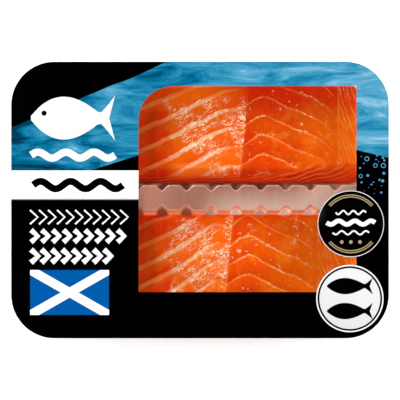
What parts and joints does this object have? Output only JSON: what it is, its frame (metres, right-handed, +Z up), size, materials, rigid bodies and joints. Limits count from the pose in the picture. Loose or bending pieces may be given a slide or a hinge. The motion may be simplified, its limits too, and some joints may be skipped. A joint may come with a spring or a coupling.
{
  "type": "packed salmon fillets",
  "caption": "Sealed clear tray with raw salmon fillets in fluted wells under a flat printed lid film with a large clear window.",
  "frame": {"origin": "middle of the tray's underside", "axes": "+X along the pack's longer side, to the right when the print is read; +Y towards the print's upper edge; +Z up, out of the lid film"},
  "size_m": [0.187, 0.137, 0.0365],
  "materials": {
    "clear_tray": "clear glossy thermoformed plastic",
    "salmon": "moist raw salmon flesh with pale lines of fat",
    "printed_film": "satin black printed lid film with fields of blue and white",
    "clear_film": "clear glossy film",
    "black_label": "black printed label with a white rim",
    "white_label": "white printed label with a black ring"
  },
  "bodies": {
    "root": {"tray": "clear_tray", "fillet_back": "salmon", "fillet_front": "salmon", "lid_print": "printed_film", "lid_window": "clear_film", "label_seal": "black_label", "label_count": "white_label"}
  },
  "joints": []
}
